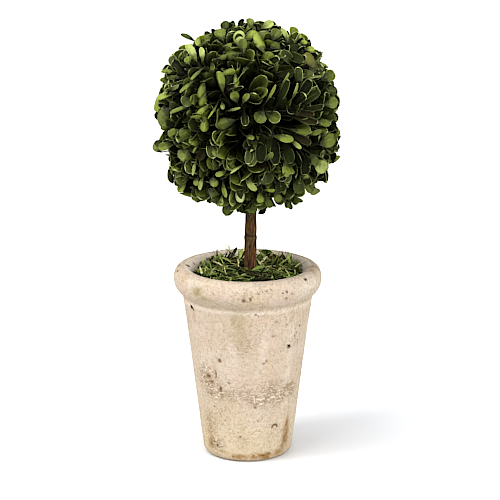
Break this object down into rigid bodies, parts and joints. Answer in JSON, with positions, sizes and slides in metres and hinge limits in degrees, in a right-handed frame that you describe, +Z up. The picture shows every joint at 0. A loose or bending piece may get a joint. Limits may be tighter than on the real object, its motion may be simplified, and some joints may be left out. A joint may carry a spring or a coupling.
{
  "type": "potted boxwood topiary",
  "caption": "Tabletop preserved boxwood topiary: a clipped ball of leaves on a short bare stem, in a tall weathered clay pot with a thick rolled rim and shallow flutes, dressed with moss.",
  "frame": {"origin": "centre of the pot's flat underside", "axes": "+Z up through the pot's axis; the front of the picture faces -Y, with +X to its right"},
  "size_m": [0.1524, 0.1474, 0.3567],
  "materials": {
    "clay": "matte, weathered and pitted, cream with pink and ochre mottling",
    "potting_mix": "rough, dark",
    "moss": "dry shredded strands, olive green and straw",
    "bark": "matte brown bark",
    "leaves": "satin dark green leaves with pale edges"
  },
  "bodies": {
    "root": {"pot": "clay", "potting_fill": "potting_mix", "moss": "moss", "trunk": "bark", "crown": "leaves"}
  },
  "joints": []
}
